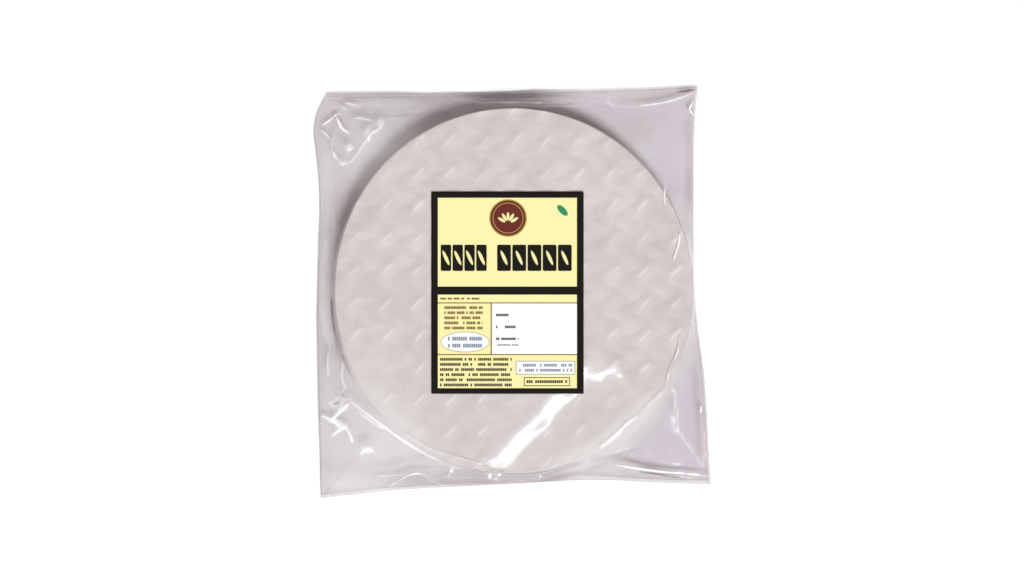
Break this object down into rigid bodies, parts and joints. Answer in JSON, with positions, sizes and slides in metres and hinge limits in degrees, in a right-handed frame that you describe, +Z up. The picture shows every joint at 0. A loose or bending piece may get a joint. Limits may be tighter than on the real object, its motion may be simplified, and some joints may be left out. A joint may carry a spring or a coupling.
{
  "type": "bag of rice paper wrappers",
  "caption": "Flat sealed clear bag with a round stack of dried rice paper wrappers inside and a rectangular printed label on top.",
  "frame": {"origin": "middle of the bag's footprint, on the surface that it lies on", "axes": "+Z up through the label, +Y towards the top of the label, +X to its right"},
  "size_m": [0.243, 0.252, 0.0168],
  "materials": {
    "bag_film": "clear glossy film over off-white sheets",
    "rice_paper": "dry off-white starch sheet with a woven print",
    "label_paper": "smooth coated paper, printed"
  },
  "bodies": {
    "root": {"bag": "bag_film", "label": "label_paper"}
  },
  "joints": []
}
